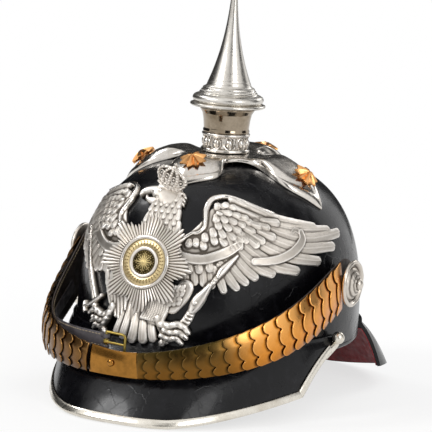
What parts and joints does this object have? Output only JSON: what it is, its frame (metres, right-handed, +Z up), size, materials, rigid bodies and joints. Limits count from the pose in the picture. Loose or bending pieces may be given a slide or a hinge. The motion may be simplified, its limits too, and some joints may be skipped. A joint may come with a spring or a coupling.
{
  "type": "cavalry helmet",
  "caption": "Spiked cavalry helmet with front and rear visors, cruciform spike base, screw-in spike, draped eagle plate and a swinging chinscale loop on rosettes.",
  "frame": {"origin": "centre of the bounding box at the level the visors' lowest edges rest on", "axes": "+Z runs up the spike, the helmet faces -Y, and the wearer's left side is +X"},
  "size_m": [0.227, 0.3069, 0.2906],
  "materials": {
    "patent_leather": "high-gloss black patent with fine crazing",
    "green_leather": "matte glued lining",
    "red_leather": "matte glued lining",
    "silvered": "polished, lightly worn",
    "frosted_silver": "frosted, polished on the high spots",
    "gilt": "fire-gilt",
    "hardware_brass": "plain, unpolished",
    "strap_leather": "worn brown",
    "band_leather": "soft tan",
    "silk": "ribbed silk",
    "string": "twisted cord"
  },
  "bodies": {
    "helmet": {"skull": "patent_leather", "edge_roll": "patent_leather", "front_visor": "patent_leather", "front_lining": "green_leather", "visor_trim": "silvered", "trim_balls": "silvered", "rear_visor": "patent_leather", "rear_lining": "red_leather", "rear_spine": "silvered", "spine_screw": "silvered", "spike_base": "silvered", "star_studs": "gilt", "stud_nuts": "hardware_brass", "pearl_ring": "silvered", "spike_neck": "silvered", "neck_washer": "silvered", "neck_nut": "hardware_brass", "eagle_plate": "frosted_silver", "guard_star": "frosted_silver", "star_ring": "frosted_silver", "star_centre": "gilt", "plate_posts": "hardware_brass", "plate_nuts": "hardware_brass", "rosette_screws": "silvered", "rosette_nuts": "hardware_brass", "rosettes": "silvered", "sweatband": "band_leather", "silk_liner": "silk", "drawstring": "string"},
    "chin_loop": {"chin_leather": "strap_leather", "scales_on_left": "gilt", "scales_on_right": "gilt", "front_plate": "gilt", "front_stud": "gilt", "buckle_strap": "strap_leather", "buckle_frame": "gilt"},
    "tongue": {"buckle_tongue": "gilt"},
    "spike_carrier": {"spike_screw": "hardware_brass"},
    "spike_top": {"spike": "silvered"}
  },
  "joints": [
    {"name": "loop_swing", "type": "hinge", "parent": "helmet", "child": "chin_loop", "pos_m": [0, -0.005, 0.0892], "axis": [-1, 0, 0], "range_deg": [0, 45]},
    {"name": "tongue_hinge", "type": "hinge", "parent": "chin_loop", "child": "tongue", "pos_m": [-0.016, -0.1318, 0.05041], "axis": [-0.0165, 0.0017, -0.9999], "range_deg": [0, 70]},
    {"name": "spike_rise", "type": "slide", "parent": "helmet", "child": "spike_carrier", "axis": [0, 0, 1], "range_m": [0, 0.009]},
    {"name": "spike_turn", "type": "hinge", "parent": "spike_carrier", "child": "spike_top", "pos_m": [0, 0, 0.2], "axis": [0, 0, 1], "range_deg": [0, 1440]}
  ],
  "couplings": [
    {"joint": "spike_rise", "follows": "spike_turn", "m_per_rad": 0.000358}
  ]
}
